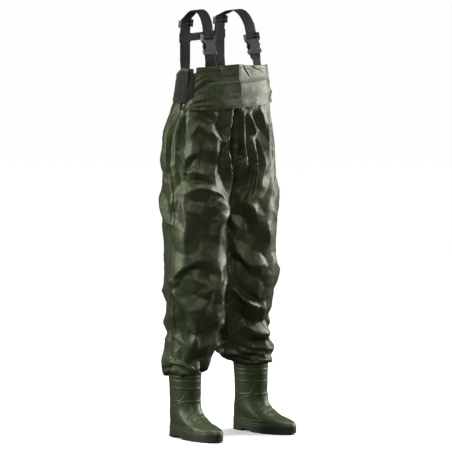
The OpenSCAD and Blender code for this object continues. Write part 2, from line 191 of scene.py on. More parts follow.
def garment_mesh(name, levels, n, inset=0.0):
    """Both trouser halves as one mesh, and each vertex's (side, z, a). A face's material index is its panel,
    plus 4 in the strip along an outseam or 8 along an inseam."""
    index, points, where, faces, panels, uvs = {}, [], [], [], [], []
    rows = [cloth_point(z, np.linspace(-1, 1, 2 * n + 1), inset) for z in levels]
    last_leg = max(k for k, z in enumerate(levels) if z <= FORK_Z)

    def vertex(side, k, j):
        a = j / n - 1
        if j in (0, 2 * n):
            key = ("inner", side, k) if k <= last_leg else ("centre", k, j)
        else:
            key = (side, k, j)
        if key not in index:
            p = rows[k][j].copy()
            p[0] = 0 if key[0] == "centre" else p[0] * -side
            index[key] = len(points)
            points.append(p)
            where.append((0 if key[0] == "centre" else side, levels[k], a))
        return index[key]

    for side in (-1, 1):
        for k in range(len(levels) - 1):
            for j in range(2 * n):
                turns = ((k, j), (k + 1, j), (k + 1, j + 1), (k, j + 1))
                quad = [vertex(side, r, c) for r, c in turns]
                corners = [(c / n * PANEL_W, levels[r]) for r, c in turns]
                faces.append(quad if side > 0 else quad[::-1])
                uvs += corners if side > 0 else corners[::-1]
                strip = 1 if j in (n - 1, n) else 2 if j in (0, 2 * n - 1) else 0
                panels.append((0 if side < 0 else 2) + (0 if j >= n else 1) + 4 * strip)
    faces.append([index[("inner", -1, last_leg)], index[("centre", last_leg + 1, 2 * n)],
                  index[("inner", 1, last_leg)], index[("centre", last_leg + 1, 0)]])
    panels.append(0)
    uvs += [(PANEL_W, FORK_Z)] * 4
    obj = make_mesh(name, points, faces)
    obj.data.polygons.foreach_set("material_index", panels)
    obj.data.uv_layers.new(name="UVMap").data.foreach_set("uv", (np.array(uvs) * MM).ravel())
    return obj, np.array(where)


# The folds of each half: width, height, and then a and z of its points in turn. A height below 0 is a groove.
RIGHT_FOLDS = [
    (13, -11, 0.2, 1186, 0.46, 1168, 0.66, 1142, 0.8, 1110, 0.85, 1080),
    (15, 12, 0.18, 1172, 0.4, 1146, 0.58, 1120, 0.74, 1096, 0.84, 1066),
    (13, 13, 0.12, 1180, 0.3, 1130, 0.42, 1084, 0.49, 1042, 0.38, 1034, 0.3, 1015),
    (14, -11, 0.2, 1160, 0.24, 1100, 0.27, 1050),
    (12, 9, 0.1, 1170, 0.13, 1100, 0.14, 1040),
    (16, 11, -0.1, 1182, -0.06, 1124, -0.05, 1060, -0.06, 980),
    (16, -10, -0.2, 1180, -0.22, 1090, -0.2, 1000),
    (14, 15, 0.93, 1178, 0.9, 1120, 0.88, 1052, 0.9, 990, 0.93, 930, 0.82, 880, 0.7, 840),
    (13, -10, 0.83, 1060, 0.81, 1000, 0.8, 950, 0.78, 895),
    (11, 7, 0.55, 1088, 0.7, 1074, 0.82, 1072),
    (12, 8, 0.58, 1050, 0.7, 1044, 0.81, 1038),
    (12, -8, 0.62, 1008, 0.73, 1000, 0.83, 998),
    (12, -11, 0.49, 1028, 0.38, 1000, 0.25, 962),
    (12, 10, 0.25, 975, 0.4, 978, 0.58, 968),
    (14, -9, 0.25, 945, 0.42, 948, 0.6, 930),
    (14, 10, 0.18, 900, 0.4, 925, 0.57, 907, 0.7, 883),
    (13, -9, 0.25, 880, 0.47, 872, 0.65, 880),
    (14, 12, 0.48, 862, 0.57, 873, 0.7, 835, 0.54, 805, 0.5, 750),
    (13, -11, 0.38, 865, 0.44, 810, 0.42, 770, 0.4, 700),
    (13, 12, 0.1, 882, 0.17, 845, 0.18, 775, 0.17, 725, 0.2, 680),
    (14, -9, 0.28, 790, 0.3, 740, 0.27, 690),
    (11, 12, 0.27, 668, 0.14, 640, 0.02, 602),
    (13, -13, 0.08, 590, 0.18, 632, 0.28, 644, 0.42, 626, 0.4, 600),
    (13, 11, 0.45, 660, 0.52, 620, 0.46, 575, 0.34, 560),
    (8, 12, 0.02, 568, 0.16, 512, 0.25, 474, 0.33, 438),
    (12, -10, 0.06, 530, 0.16, 480, 0.22, 440),
    (11, -11, 0.22, 568, 0.29, 550, 0.36, 534),
    (9, 10, 0.3, 438, 0.33, 400, 0.36, 356),
    (14, 9, 0.55, 560, 0.6, 500, 0.62, 430, 0.6, 370),
    (11, 9, -0.1, 620, 0.0, 600, 0.12, 585),
    (16, 11, -0.3, 900, -0.2, 860, -0.12, 790),
    (18, 12, -0.45, 1120, -0.5, 1040, -0.42, 960),
    (18, -11, -0.7, 1140, -0.72, 1050, -0.6, 980),
    (15, -12, -0.3, 640, -0.5, 610, -0.7, 640),
    (15, 12, -0.25, 560, -0.5, 535, -0.72, 570),
    (14, -10, -0.3, 480, -0.5, 500, -0.7, 470),
    (9, 15, -0.1, 306, 0.2, 288, 0.5, 303, 0.8, 286),
    (9, -13, 0.0, 340, 0.3, 322, 0.6, 342),
    (8, 13, 0.1, 274, 0.4, 264, 0.7, 277),
    (10, 12, 0.15, 398, 0.35, 372, 0.6, 386),
    (10, -11, 0.05, 440, 0.3, 418, 0.5, 442),
    (10, 11, 0.38, 482, 0.52, 456, 0.68, 470),
    (16, -11, -0.4, 860, -0.6, 830, -0.8, 790),
]
LEFT_FOLDS = [
    (9, 11, 0.97, 1176, 0.97, 1062, 0.92, 955),
    (9, -9, 0.92, 1172, 0.92, 1100, 0.91, 1025, 0.8, 930, 0.75, 880),
    (10, 11, 0.87, 1060, 0.8, 960, 0.7, 880),
    (10, -10, 0.82, 1080, 0.75, 960, 0.66, 880),
    (10, 10, 0.79, 1056, 0.7, 960, 0.62, 878),
    (9, 12, 0.95, 1182, 0.88, 1132, 0.81, 1082),
    (10, -10, 0.88, 1184, 0.8, 1134, 0.74, 1090),
    (12, 9, 0.71, 1170, 0.69, 1120, 0.68, 1060),
    (10, 13, 0.6, 1168, 0.63, 1092, 0.65, 1015, 0.6, 960),
    (13, -9, 0.5, 1160, 0.52, 1080, 0.54, 1000, 0.5, 900),
    (12, 13, 0.76, 845, 0.67, 842, 0.61, 807, 0.59, 753),
    (16, -14, 0.85, 800, 0.72, 790, 0.68, 740, 0.75, 700),
    (12, 13, 0.8, 712, 0.73, 660, 0.62, 624, 0.46, 632),
    (13, -12, 0.75, 640, 0.62, 590, 0.48, 590),
    (15, 9, 0.5, 800, 0.45, 740, 0.42, 690),
    (10, 14, 0.77, 522, 0.68, 496, 0.6, 482, 0.35, 468),
    (12, -13, 0.76, 545, 0.64, 514, 0.5, 498, 0.35, 505),
    (12, -12, 0.85, 470, 0.72, 430, 0.55, 415, 0.35, 425),
    (11, 13, 0.67, 402, 0.52, 372, 0.31, 374),
    (12, -12, 0.8, 380, 0.6, 345, 0.35, 350),
    (14, 11, 0.3, 640, 0.15, 600, 0.0, 610),
    (14, -11, 0.3, 560, 0.1, 530, -0.1, 545),
    (17, 11, 0.0, 1150, -0.05, 1050, 0.0, 960),
    (17, -11, -0.3, 1150, -0.35, 1060, -0.3, 960),
    (17, 12, -0.55, 1140, -0.55, 1040, -0.48, 950),
    (15, 12, -0.3, 620, -0.5, 590, -0.7, 620),
    (15, -12, -0.3, 540, -0.5, 520, -0.7, 550),
    (16, 11, -0.4, 880, -0.6, 840, -0.8, 800),
    (16, 10, 0.25, 900, 0.12, 840, 0.1, 770),
]


def lines_of(table):
    """The points, width and height of each row of a table of folds."""
    return [(np.reshape(points, (-1, 2)), width, height) for width, height, *points in table]


FOLDS = [(side, *line) for side, table in ((-1, RIGHT_FOLDS), (1, LEFT_FOLDS)) for line in lines_of(table)]


def on_side(side, a, z):
    p = cloth_point(np.asarray(z, float), np.asarray(a, float))
    return p * np.array([-side, 1, 1])


def smooth_line(points, n):
    """n points on a Catmull-Rom curve through the points given."""
    p = np.asarray(points, float)
    p = np.vstack([2 * p[0] - p[1], p, 2 * p[-1] - p[-2]])
    out = []
    for s in np.linspace(0, len(p) - 3 - 1e-9, n):
        i = int(s)
        t = s - i
        a, b, c, d = p[i : i + 4]
        square, cube = 2 * a - 5 * b + 4 * c - d, 3 * b - a - 3 * c + d
        out.append(0.5 * (2 * b + (c - a) * t + square * t**2 + cube * t**3))
    return np.array(out)


def crease(points, path, width, height, power):
    """A fold's height at each point: highest along the path, and fading out at its ends."""
    d = np.linalg.norm(points[:, None] - path[None], axis=2)
    taper = np.sin(np.pi * np.clip(d.argmin(1) / (len(path) - 1), 0.06, 0.94)) ** 0.6
    return height * taper * np.exp(-np.abs(d.min(1) / (width * taper)) ** power)


def fold_heights(points, sides, power, moved=lambda path: path, narrower=1.0):
    """How far the folds push each point out, in millimetres. A lower power makes sharper folds."""
    total = np.zeros(len(points))
    for side, line, width, height in FOLDS:
        width = width * narrower
        path = smooth_line(line, 40)
        path = moved(on_side(side, path[:, 0], path[:, 1]))
        low, high = path.min(0) - 4 * width, path.max(0) + 4 * width
        mine = np.flatnonzero((sides != -side) & ((points > low) & (points < high)).all(1))
        total[mine] += crease(points[mine], path, width, height, power)
    return total


# ---------------- boots: the CAD's tables, in millimetres
BOOT_PROFILE = [[20, 210, 74, 0.78], [34, 212, 75, 0.78], [42, 207, 75, 0.8], [48, 194, 75, 0.85],
                [53, 168, 75, 0.9], [62, 139, 74, 0.95], [80, 101, 71, 0.95], [92, 84, 68, 0.9],
                [107, 73, 66, 0.9], [125, 68, 63, 0.9], [150, 66, 62, 0.9], [190, 66, 63, 0.9],
                [240, 66, 66, 0.9]]
FOOT_HALF_W = [[0, 42], [0.12, 49], [0.3, 52], [0.5, 47], [0.68, 43], [0.85, 43], [1, 40]]
SHAFT_HALF_W = [[24, 50], [100, 46], [140, 48], [190, 51], [240, 54]]
BOOT_PLACE = (155, 50)
SOLE_TOP, BOOT_TOP = 20, 240
SPLAY = math.radians(5.5)


def boot_point(z, turn, inset=0.0):
    """A point of the boot's outside in its own frame. turn is 0 at the toe, and a half circle at the heel."""
    front, back = column(BOOT_PROFILE, 1, z) - inset, column(BOOT_PROFILE, 2, z) - inset
    s = (1 - np.cos(turn)) / 2
    foot = np.interp(s, [r[0] for r in FOOT_HALF_W], [r[1] for r in FOOT_HALF_W])
    w = foot + (column(SHAFT_HALF_W, 1, z) - foot) * ease((z - 50) / 75) - inset
    x = -signed_power(np.sin(turn), column(BOOT_PROFILE, 3, z)) * w
    return cols(x, -front + (front + back) * s, z + 0 * x)


def place_boot(points, side):
    """From the boot's frame, drawn for the right foot, to the shared frame."""
    p = np.array(points, float)
    c, s = math.cos(SPLAY), math.sin(SPLAY)
    x, y = c * p[..., 0] + s * p[..., 1] - BOOT_PLACE[0], -s * p[..., 0] + c * p[..., 1] + BOOT_PLACE[1]
    return cols(x * -side, y, p[..., 2])


def grid_mesh(name, grid, wrap=False, flip=False):
    """A sheet through rows of points in millimetres, with UVs in metres."""
    rows, cols = grid.shape[:2]
    last = cols if wrap else cols - 1
    faces = [[r * cols + c, r * cols + (c + 1) % cols, (r + 1) * cols + (c + 1) % cols, (r + 1) * cols + c]
             for r in range(rows - 1) for c in range(last)]
    if flip:
        faces = [f[::-1] for f in faces]
    obj = make_mesh(name, grid.reshape(-1, 3), faces)
    steps = [np.linalg.norm(np.diff(grid, axis=k), axis=2).mean(1 - k) for k in (1, 0)]
    u, v = (np.concatenate([[0], np.cumsum(step)]) for step in steps)
    if wrap:
        u = np.append(u, u[-1] + np.linalg.norm(grid[0, -1] - grid[0, 0]))
    values = []
    for poly in obj.data.polygons:
        r, c = divmod(poly.index, last)
        corners = [(u[c], v[r]), (u[c + 1], v[r]), (u[c + 1], v[r + 1]), (u[c], v[r + 1])]
        values += corners[::-1] if flip else corners
    obj.data.uv_layers.new(name="UVMap").data.foreach_set("uv", (np.array(values) * MM).ravel())
    return obj


def solid(obj, thickness, levels=0):
    """Gives a sheet a thickness in millimetres, inwards, and smooths it."""
    if levels:
        sub = obj.modifiers.new("smooth", "SUBSURF")
        sub.levels = sub.render_levels = levels
    thick = obj.modifiers.new("thickness", "SOLIDIFY")
    thick.thickness = thickness * MM
    thick.offset = -1
    return modified(obj)


# ---------------- simulation of the trousers
BOTTOM_Z = 241  # the trousers' lower edge, on the boots
PIN_BELOW, PIN_ABOVE = 242, 1188
MANNEQUIN_INSET = 20
CLOTH_GAP = 0.003  # metres
SIM_FRAMES = 30
FACET = 33  # millimetres between the corners of the cloth's flat facets
FLATNESS = 0.97  # how far the cloth moves to its facets
PANELS = ("right_front_cloth", "right_back_cloth", "left_front_cloth", "left_back_cloth")


def collider(obj):
    obj.modifiers.new("collision", "COLLISION")
    obj.collision.thickness_outer = CLOTH_GAP
    obj.collision.cloth_friction = 8
    return obj


def ridged(points, scale, seed):
    """Sharp creases between soft facets, from 0 to 1."""
    return 1 - np.abs(np.clip(noise_at(points, scale, seed) * 2, -1, 1))


def crumpled(points, size, seed):
    """Straight creases between flat facets, from 0 in a crease to about 1 in the middle of a facet."""
    draw = np.random.default_rng(seed)
    low, high = points.min(0) - size, points.max(0) + size
    seeds = draw.uniform(low, high, (int(np.prod((high - low) / size)), 3))
    tree = tree_of(seeds)
    nearest = np.array([[h[2] for h in tree.find_n(q, 2)] for q in points])
    return (nearest[:, 1] - nearest[:, 0]) / size


def weighted(tree, q, n, soften):
    """The n nearest of the tree's points to q, and their weights."""
    hits = tree.find_n(q, n)
    w = np.array([1 / (h[2] + soften) for h in hits])
    return [h[1] for h in hits], w / w.sum()


def sharpened(obj, before, where):
    """Subdivides the simulated cloth, and adds the flat facets and crisp creases of a stiff coating."""
    after = places(obj)
    tree = tree_of(before)

    def moved(path):
        """Where the simulation took a path."""
        near = [weighted(tree, p, 4, 3) for p in path]
        return np.array([p + w @ (after[rows] - before[rows]) for p, (rows, w) in zip(path, near)])

    seam = np.abs(where[:, 2]) > 0.999
    carried = {"z": where[:, 1], "a": np.abs(where[:, 2]), "face": np.where(seam, 0, np.sign(where[:, 2]))}
    for name, values in carried.items():
        obj.data.attributes.new(name, "FLOAT", "POINT").data.foreach_set("value", values)
    obj.modifiers.new("smooth", "SUBSURF").levels = 1
    modified(obj)
    z, a, face = (np.array([d.value for d in obj.data.attributes[name].data]) for name in carried)
    for name in carried:
        obj.data.attributes.remove(obj.data.attributes[name])

    p = places(obj)
    side = np.where(np.abs(p[:, 0]) < 3, 0, np.sign(p[:, 0]))
    flat = faceted(p, cols(side, z, a * np.where(face < 0, -1, 1)))
    put(obj, flat)
    edge = ease((p[:, 2] - 240) / 12) * ease((1190 - p[:, 2]) / 34)
    warp = p + 14 * np.stack([noise_at(p, 70, k) for k in (14, 15, 16)], axis=-1)
    crinkle = 4.5 * crumpled(warp * [1, 1, 0.75], 95, 11) - 3 * crumpled(warp * [1, 1, 1.3], 60, 13) - 0.4
    crinkle += 0.4 * crumpled(warp, 26, 12) * (1 + 2 * bump(z, 380, 120))
    height = (0.4 * fold_heights(p, side, 1.0, moved, 0.4) + crinkle) * edge
    put(obj, flat + normals(obj) * height[:, None])
    return obj


def facet_corners(side, draw):
    """Where the corners of one half's facets are, laid flat. Also gives the edges that the folds make between
    them, and points of the folds with their heights."""
    seeds, edges, ridges = [], [], []
    for fold_side, line, _, height in FOLDS:
        if fold_side == side:
            path = smooth_line(line * [PANEL_W, 1], 60)
            path = path[:: max(1, int(60 * FACET / 1.8 / distances(path)[-1]))]
            edges += [(len(seeds) + k, len(seeds) + k + 1) for k in range(len(path) - 1)]
            seeds += list(path)
            share = np.sin(np.pi * (0.15 + 0.7 * np.arange(len(path)) / len(path)))
            ridges += list(np.column_stack([path, 0.7 * height * share]))
    seeds += [np.array([u, z]) for z in np.linspace(BOTTOM_Z, TOP_Z, 22) for u in (-PANEL_W, PANEL_W)]
    while len(seeds) < 4000:
        tries = cols(draw.uniform(-PANEL_W, PANEL_W, 400), draw.uniform(BOTTOM_Z, TOP_Z, 400))
        before = len(seeds)
        for q in tries:
            if np.linalg.norm(np.array(seeds) - q, axis=1).min() > FACET * draw.uniform(0.7, 1.15):
                seeds.append(q)
        if len(seeds) < before + 3:
            break
    seeds += [np.array([u, z], float) for u in (-PANEL_W, PANEL_W) for z in (BOTTOM_Z, TOP_Z)]
    return seeds, edges, np.array(ridges)


def on_triangles(flat, corners, lifted, triangles):
    """Where flat points land when their triangles' corners are lifted, or nan outside every triangle."""
    out = np.full((len(flat), 3), np.nan)
    for tri in triangles:
        a, b, c = corners[list(tri)]
        m = np.array([b - a, c - a]).T
        if abs(np.linalg.det(m)) < 1e-6:
            continue
        near = np.flatnonzero((np.abs(flat - (a + b + c) / 3) < 3 * FACET).all(1))
        uv = (flat[near] - a) @ np.linalg.inv(m).T
        inside = (uv.min(1) > -1e-4) & (uv.sum(1) < 1 + 1e-4)
        uv = uv[inside]
        out[near[inside]] = np.column_stack([1 - uv.sum(1), uv]) @ lifted[list(tri)]
    return out


def faceted(points, where):
    """The garment's points moved towards flat facets that meet along the folds, as in creased coated cloth."""
    draw = np.random.default_rng(11)
    out = points.copy()
    for side in (-1, 1):
        mine = np.flatnonzero((where[:, 0] == side) | (where[:, 0] == 0))
        flat = cols(where[mine, 2] * PANEL_W, where[mine, 1])
        seeds, edges, ridges = facet_corners(side, draw)
        corners, _, triangles = delaunay_2d_cdt([Vector(q) for q in seeds], edges, [], 0, 0.5)[:3]
        corners = np.array(corners)
        tree = tree_of(np.column_stack([flat, 0 * flat[:, 0]]))
        shift = points[mine] - flat_base(where, mine)
        near = [weighted(tree, (*q, 0), 5, 4) for q in corners]
        lifted = np.array([w @ shift[rows] for rows, w in near])
        u, z = corners[:, 0] / PANEL_W, corners[:, 1]
        along = cloth_point(z, np.clip(u + 0.02, -1, 1)) - cloth_point(z, np.clip(u - 0.02, -1, 1))
        away = cols(-side * along[:, 1], -along[:, 0], 0 * z)
        away /= np.linalg.norm(away, axis=1)[:, None]
        rise = draw.normal(0, 1, len(corners)) * (2.2 + 3.5 * bump(z, 400, 140)) * ease((1150 - z) / 60)
        for k, q in enumerate(corners):
            gap = np.linalg.norm(ridges[:, :2] - q, axis=1)
            if gap.min() < 4:
                rise[k] = ridges[gap.argmin(), 2]
        moved = on_triangles(flat, corners, lifted + away * rise[:, None], triangles)
        found = ~np.isnan(moved[:, 0])
        hit = mine[found]
        z, a = where[hit, 1], np.abs(where[hit, 2])
        share = FLATNESS * ease((z - 285) / 70) * ease((1185 - z) / 40) * ease((0.995 - a) / 0.03)
        out[hit] += share[:, None] * (flat_base(where, hit) + moved[found] - points[hit])
    return out


def flat_base(where, rows):
    """The undisplaced places of some of the garment's points."""
    p = cloth_point(where[rows, 1], where[rows, 2])
    p[:, 0] = np.where(where[rows, 0] == 0, 0, p[:, 0] * -where[rows, 0])
    return p


def draped():
    """The trousers before the simulation: the CAD's sections with pleats, rolls, blobs and the main folds."""
    levels = np.concatenate([np.linspace(BOTTOM_Z, FORK_Z, 66), np.linspace(FORK_Z, TOP_Z, 45)[1:]])
    obj, where = garment_mesh("trousers", levels, 32)
    points, normal = places(obj), normals(obj)
    sides, z = where[:, 0], where[:, 1]
    free = ease((z - BOTTOM_Z) / 18)
    pleats = np.where(sides < 0, 3, 5) * ease((z - 960) / 180) * noise_at(points * [1, 1, 0.2], 26, 1)
    level = points * [0.35, 0.35, 1] + np.outer(points[:, 0], [0, 0, 0.3])
    rolls = 17 * bump(z, 300, 62) * noise_at(level, 25, 2)
    blobs = 5 * noise_at(points, 110, 3) + 2 * noise_at(points, 50, 4)
    waist = 1 - 0.75 * ease((z - 1130) / 50)
    heights = (pleats + rolls + (blobs + 0.85 * fold_heights(points, sides, 1.2)) * waist) * free
    points += normal * heights[:, None]
    for side in (-1, 1):
        legs = (sides == side) & (z <= FORK_Z)
        knee = 1.5 + 13 * bump(z[legs], 520, 170) + (22 if side < 0 else 0) * bump(z[legs], 440, 110)
        points[legs, 0] = side * np.maximum(side * points[legs, 0], knee)
    put(obj, points)
    return obj, points, where


def simulated_trousers():
    """The trousers hung from the waist over a body, with spare length that bunches above the boots."""
    obj, points, where = draped()
    z = where[:, 1]
    grow = 0.03 + 0.3 * bump(z, 285, 52) + 0.05 * bump(z, 520, 130) + 0.03 * ease((z - 1000) / 150)
    most = float(grow.max())
    pin, tight = obj.vertex_groups.new(name="pin"), obj.vertex_groups.new(name="tight")
    pin.add([int(i) for i in np.flatnonzero((z < PIN_BELOW) | (z > PIN_ABOVE))], 1.0, "REPLACE")
    for i, g in enumerate(grow):
        tight.add([i], float(1 - g / most), "REPLACE")
    body, _ = garment_mesh("body", np.linspace(250, 1225, 60), 20, MANNEQUIN_INSET)
    rim = [(150, 0), (200, 0), (BOOT_TOP - 2, 0), (BOOT_TOP, 3), (BOOT_TOP, 20)]
    shaft = np.array([boot_point(h, full_turn(48), inset) for h, inset in rim])
    shafts = [grid_mesh("shaft", place_boot(shaft, side), wrap=True) for side in (-1, 1)]
    colliders = [collider(o) for o in (body, *shafts)]
    cloth = obj.modifiers.new("cloth", "CLOTH")
    s = cloth.settings
    s.quality, s.mass = 6, 0.2
    s.tension_stiffness = s.compression_stiffness = 40
    s.shear_stiffness, s.bending_stiffness = 12, 0.1
    s.tension_damping = s.compression_damping = s.shear_damping = 5
    s.vertex_group_mass, s.vertex_group_shrink = "pin", "tight"
    s.shrink_min, s.shrink_max = -most, 0
    s.effector_weights.gravity = 0.25
    c = cloth.collision_settings
    c.use_self_collision = True
    c.collision_quality, c.self_friction = 3, 5
    c.distance_min = c.self_distance_min = CLOTH_GAP
    for f in range(1, SIM_FRAMES + 1):
        bpy.context.scene.frame_set(f)
    modified(obj)
    bpy.context.scene.frame_set(0)
    for o in colliders:
        bpy.data.objects.remove(o)
    return sharpened(obj, points, where)


trousers = simulated_trousers()


# ---------------- materials
def node(tree, kind, **values):
    n = tree.nodes.new(kind)
    for key, value in values.items():
        if key in n.bl_rna.properties:
            setattr(n, key, value)
        else:
            n.inputs[key.replace("_", " ")].default_value = value
    return n


def material(name, dark, light, rough, patch=0.12, grain=(), weave=None, stains=0.0, creases=0.0, **sockets):
    """A procedural finish. Colour and roughness vary over patches. Each grain is the size and depth of a relief,
    and a weave is its two threads' pitches and their depth, all in metres."""
    mat = bpy.data.materials.new(name)
    mat.use_nodes = True
    t = mat.node_tree
    link = t.links.new
    bsdf = t.nodes["Principled BSDF"]
    for key, value in sockets.items():
        bsdf.inputs[key.replace("_", " ")].default_value = value
    where = node(t, "ShaderNodeTexCoord")

    def cloud(**values):
        tex = node(t, "ShaderNodeTexNoise", **values)
        link(where.outputs["Object"], tex.inputs["Vector"])
        return tex.outputs

    def darkened(colour, other, share):
        mix = node(t, "ShaderNodeMixRGB", blend_type="MULTIPLY", Fac=share)
        link(colour, mix.inputs["Color1"])
        link(other, mix.inputs["Color2"])
        return mix.outputs["Color"]

    def relief(height, depth, normal):
        hill = node(t, "ShaderNodeBump", Strength=1.0, Distance=depth)
        link(height, hill.inputs["Height"])
        if normal:
            link(normal, hill.inputs["Normal"])
        return hill.outputs["Normal"]

    ramp = node(t, "ShaderNodeValToRGB")
    for stop, position, tint in zip(ramp.color_ramp.elements, (0.32, 0.7), (dark, light)):
        stop.position, stop.color = position, (*tint, 1)
    link(cloud(Scale=1 / patch, Detail=4.0, Roughness=0.6)["Fac"], ramp.inputs["Fac"])
    colour = ramp.outputs["Color"]
    if stains:
        colour = darkened(colour, cloud(Scale=900.0, Detail=2.0)["Color"], stains)
    spread = node(t, "ShaderNodeMapRange", From_Min=0.3, From_Max=0.7, To_Min=rough[0], To_Max=rough[1])
    mid = cloud(Scale=3.1 / patch, Detail=3.0)
    link(mid["Fac"], spread.inputs["Value"])
    link(spread.outputs["Result"], bsdf.inputs["Roughness"])
    normal = None
    for size, share in ((0.034, 1.0), (0.015, 0.35)) if creases else ():
        cells = node(t, "ShaderNodeTexVoronoi", feature="DISTANCE_TO_EDGE", Scale=1 / size)
        warp = node(t, "ShaderNodeVectorMath", operation="MULTIPLY_ADD")
        link(mid["Color"], warp.inputs[0])
        warp.inputs[1].default_value = (0.05, 0.05, 0.05)
        link(where.outputs["Object"], warp.inputs[2])
        link(warp.outputs["Vector"], cells.inputs["Vector"])
        normal = relief(cells.outputs["Distance"], creases * share, normal)
    for size, depth in grain:
        normal = relief(cloud(Scale=1 / size, Detail=3.0, Roughness=0.55)["Fac"], depth, normal)
    if weave:
        cross = node(t, "ShaderNodeMath", operation="MULTIPLY")
        for k, direction in enumerate("XY"):
            wave = node(t, "ShaderNodeTexWave", bands_direction=direction, Scale=0.314 / weave[k])
            link(where.outputs["UV"], wave.inputs["Vector"])
            link(wave.outputs["Fac"], cross.inputs[k])
        normal = relief(cross.outputs["Value"], weave[2], normal)
        # painted shade: the colour is darkened in the weave's low places, between the threads
        colour = darkened(colour, cross.outputs["Value"], 0.35)
    if normal:
        link(normal, bsdf.inputs["Normal"])
    link(colour, bsdf.inputs["Base Color"])
    return mat


NYLON = material("coated_nylon", (0.041, 0.052, 0.025), (0.049, 0.061, 0.030), (0.36, 0.44), 0.1,
                 ((0.005, 0.0002),), (0.0012, 0.0012, 0.00008), creases=0.0009,
                 Specular_IOR_Level=0.4, Specular_Tint=(0.78, 0.86, 0.55, 1))
TAPE = material("seam_tape", (0.026, 0.036, 0.015), (0.040, 0.052, 0.023), (0.32, 0.45), 0.08,
                ((0.012, 0.0005),), (0.0012, 0.0012, 0.00006), Specular_IOR_Level=0.4,
                Specular_Tint=(0.78, 0.86, 0.55, 1))
HEM = material("bound_hem", (0.036, 0.048, 0.020), (0.060, 0.075, 0.034), (0.45, 0.6), 0.05,
               ((0.004, 0.0006),), (0.0012, 0.0012, 0.0001), Specular_IOR_Level=0.3)
KNIT = material("elastic_knit", (0.010, 0.012, 0.007), (0.022, 0.024, 0.016), (0.75, 0.9), 0.06,
                ((0.003, 0.0004),), (0.0022, 0.0016, 0.0003), 0.4, Sheen_Weight=0.08, Sheen_Roughness=0.5,
                Specular_IOR_Level=0.25)
WEB = material("brace_webbing", (0.022, 0.020, 0.016), (0.038, 0.034, 0.028), (0.6, 0.8), 0.09,
               ((0.002, 0.0001),), (0.0030, 0.0016, 0.0005), 0.3, Specular_IOR_Level=0.12)
DARK_WEB = material("front_webbing", (0.010, 0.011, 0.008), (0.018, 0.019, 0.014), (0.55, 0.75), 0.09,
                    ((0.002, 0.0001),), (0.0030, 0.0016, 0.0005), 0.3, Specular_IOR_Level=0.12)
RUBBER = material("boot_rubber", (0.026, 0.038, 0.016), (0.036, 0.050, 0.023), (0.38, 0.5), 0.09,
                  ((0.0016, 0.00006), (0.03, 0.0006)), Specular_IOR_Level=0.45,
                  Specular_Tint=(0.78, 0.86, 0.6, 1))
SOLE = material("sole_rubber", (0.012, 0.017, 0.008), (0.020, 0.028, 0.014), (0.5, 0.68), 0.06,
                ((0.0012, 0.0001), (0.012, 0.0003)), None, 0.25)
PLASTIC = material("buckle_plastic", (0.012, 0.012, 0.012), (0.020, 0.020, 0.020), (0.3, 0.42), 0.03,
                   ((0.0008, 0.00003),), Specular_IOR_Level=0.6)
FOAM = material("insole_foam", (0.09, 0.095, 0.085), (0.15, 0.155, 0.14), (0.75, 0.9), 0.03,
                ((0.002, 0.0003),))
STEEL = material("spring_steel", (0.45, 0.45, 0.44), (0.6, 0.6, 0.58), (0.25, 0.4), 0.01,
                 ((0.001, 0.00002),), Metallic=1.0)
CORD = material("shock_cord", (0.012, 0.013, 0.012), (0.030, 0.032, 0.028), (0.6, 0.8), 0.01,
                ((0.0009, 0.0002),), Sheen_Weight=0.3)
THREAD = material("stitching", (0.030, 0.040, 0.022), (0.060, 0.075, 0.045), (0.5, 0.7), 0.03,
                  ((0.0004, 0.0001),))


def dress(obj, mat, body, slot, *nodes):
    """Finishes a piece: its material, the body it rides on and the CAD nodes it stands for. The slot is not
    used.
    """
    obj.data.materials.clear()
    obj.data.materials.append(mat)
    obj.data.polygons.foreach_set("material_index", [0] * len(obj.data.polygons))
    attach(obj, body)
    if nodes:
        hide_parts(*nodes)
    return obj


# ---------------- trouser panels and seam tapes
def faces_of(obj, name, wanted):
    """A copy of the object with only the faces whose material index is wanted."""
    mesh = obj.data.copy()
    mesh.name = name
    bm = bmesh.new()
    bm.from_mesh(mesh)
    bmesh.ops.delete(bm, geom=[f for f in bm.faces if f.material_index not in wanted], context="FACES")
    bm.to_mesh(mesh)
    bm.free()
    return linked(name, mesh)


TAPES = ("right_outseam_tape", "left_outseam_tape", "right_inseam_tape", "left_inseam_tape")
TAPE_LIFT = 0.9
for k, name in enumerate(TAPES):
    tape = faces_of(trousers, name, (4 + 2 * k, 5 + 2 * k))
    put(tape, places(tape) + normals(tape) * TAPE_LIFT)
    dress(solid(tape, 0.8), TAPE, "waders", "weld_tape")
for k, name in enumerate(PANELS):
    panel = solid(faces_of(trousers, name, (k, k + 4, k + 8)), 1.0)
    dress(panel, NYLON, "waders", "cloth", name.replace("cloth", "panel"))
bpy.data.objects.remove(trousers)


# ---------------- bib, pocket and back: the CAD's chest
CHEST = [[1178, 34, 205, 113, 110, 3, 0.05], [1204, 34, 202, 112, 109, 3, 0.05],
         [1278, 28, 193, 98, 106, 4.5, 0.15], [1350, 21, 186, 82, 110, 6, 0.2]]
BIB_ANGLE = 76
BACK_INSET = 4.1


def chest_point(z, angle, inset):
    """A point round the chest, as in the CAD. The angle is in degrees, from the front to the wearer's left."""
    z, angle = np.broadcast_arrays(np.asarray(z, float), np.asarray(angle, float))
    s, c = np.sin(np.radians(angle)), np.cos(np.radians(angle))
    n = np.where(c > 0, column(CHEST, 5, z), 2.4)
    b = np.where(c > 0, column(CHEST, 3, z), column(CHEST, 4, z)) - inset
    x = (column(CHEST, 2, z) - inset) * signed_power(s, 2 / n)
    keel = np.where(c > 0, column(CHEST, 6, z) * np.abs(x) * np.minimum(1, 3 * c), 0)
    return cols(x, column(CHEST, 1, z) - b * signed_power(c, 2 / n) + keel, z)


